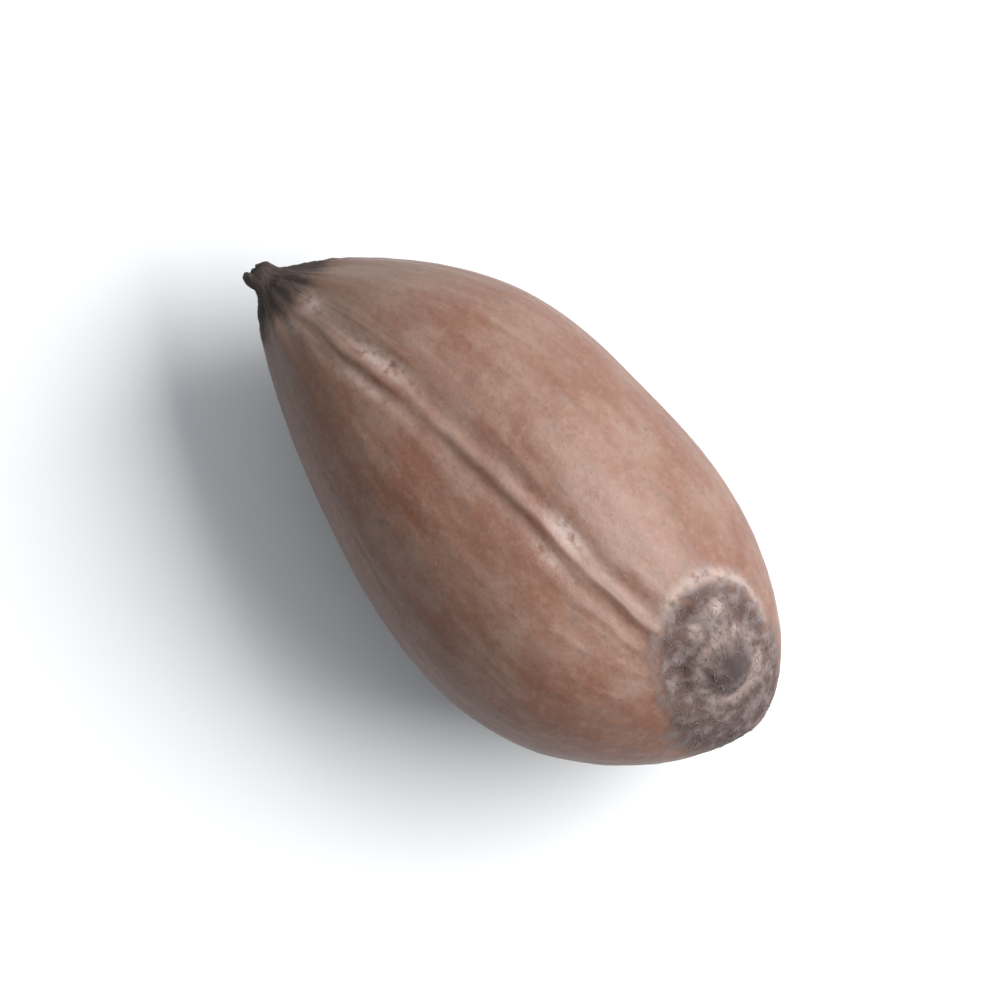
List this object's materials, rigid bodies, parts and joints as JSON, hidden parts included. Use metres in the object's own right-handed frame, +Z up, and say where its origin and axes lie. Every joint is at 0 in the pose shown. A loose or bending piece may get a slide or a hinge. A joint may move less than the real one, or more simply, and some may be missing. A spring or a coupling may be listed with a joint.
{
  "type": "cotton seed",
  "caption": "Delinted cotton seed, pear-shaped, with a pointed hilum end, a raphe ridge along its top and a round chalaza scar near the blunt end; lies on a small flat spot of its back.",
  "frame": {"origin": "on the resting surface, under the middle of the seed's bounding box", "axes": "+X from the pointed hilum end to the round chalaza end, +Z up through the raphe ridge"},
  "size_m": [0.0096, 0.005, 0.0045],
  "materials": {
    "seed_coat": "matte"
  },
  "bodies": {
    "root": {"seed": "seed_coat"}
  },
  "joints": []
}
